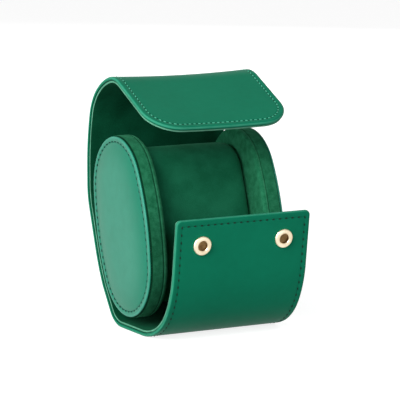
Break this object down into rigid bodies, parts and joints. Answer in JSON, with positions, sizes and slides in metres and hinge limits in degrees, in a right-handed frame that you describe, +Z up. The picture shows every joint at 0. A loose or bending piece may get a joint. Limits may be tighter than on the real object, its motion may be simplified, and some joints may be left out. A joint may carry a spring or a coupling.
{
  "type": "watch travel case",
  "caption": "Open leather travel case for a watch: a wrap of leather with a front flap and a lid, padded oval cheeks, a suede pillow between them and snap fasteners.",
  "frame": {"origin": "Middle of the flat underside, in the plane of the ground that the case stands on", "axes": "+X across the case, to the right in a view from the front; -Y towards the front flap; +Z up"},
  "size_m": [0.084, 0.1078, 0.136],
  "materials": {
    "leather": "satin",
    "lining": "matte",
    "suede": "matte",
    "board": "matte",
    "foam": "matte",
    "gold_metal": "polished",
    "brass": "satin"
  },
  "bodies": {
    "root": {"base_leather": "leather", "base_board": "board", "base_lining": "lining", "back_hinge_leather": "leather", "back_hinge_lining": "lining", "flap_hinge_leather": "leather", "flap_hinge_lining": "lining", "left_cheek_face": "leather", "left_cheek_foam": "foam", "left_cheek_board": "board", "left_cheek_band": "suede", "left_cheek_pad": "suede", "right_cheek_face": "leather", "right_cheek_foam": "foam", "right_cheek_board": "board", "right_cheek_band": "suede", "right_cheek_pad": "suede", "pillow_core": "foam", "pillow_cover": "suede", "left_pillow_end": "suede", "right_pillow_end": "suede"},
    "lid": {"lid_leather": "leather", "lid_board": "board", "lid_lining": "lining", "left_lid_stud": "gold_metal", "right_lid_stud": "gold_metal", "left_lid_rivet": "brass", "right_lid_rivet": "brass"},
    "front_flap": {"flap_leather": "leather", "flap_board": "board", "flap_lining": "lining", "left_snap_socket": "gold_metal", "right_snap_socket": "gold_metal", "left_snap_spring": "brass", "right_snap_spring": "brass", "left_snap_rivet": "brass", "right_snap_rivet": "brass"}
  },
  "joints": [
    {"name": "lid", "type": "hinge", "parent": "root", "child": "lid", "pos_m": [0, 0.04085, 0.0765], "axis": [1, 0, 0], "range_deg": [-70, 42], "deforming": ["back_hinge_leather", "back_hinge_lining"]},
    {"name": "front_flap", "type": "hinge", "parent": "root", "child": "front_flap", "pos_m": [0, -0.03115, 0.007], "axis": [-1, 0, 0], "range_deg": [-20, 27.5], "deforming": ["flap_hinge_leather", "flap_hinge_lining"]}
  ]
}
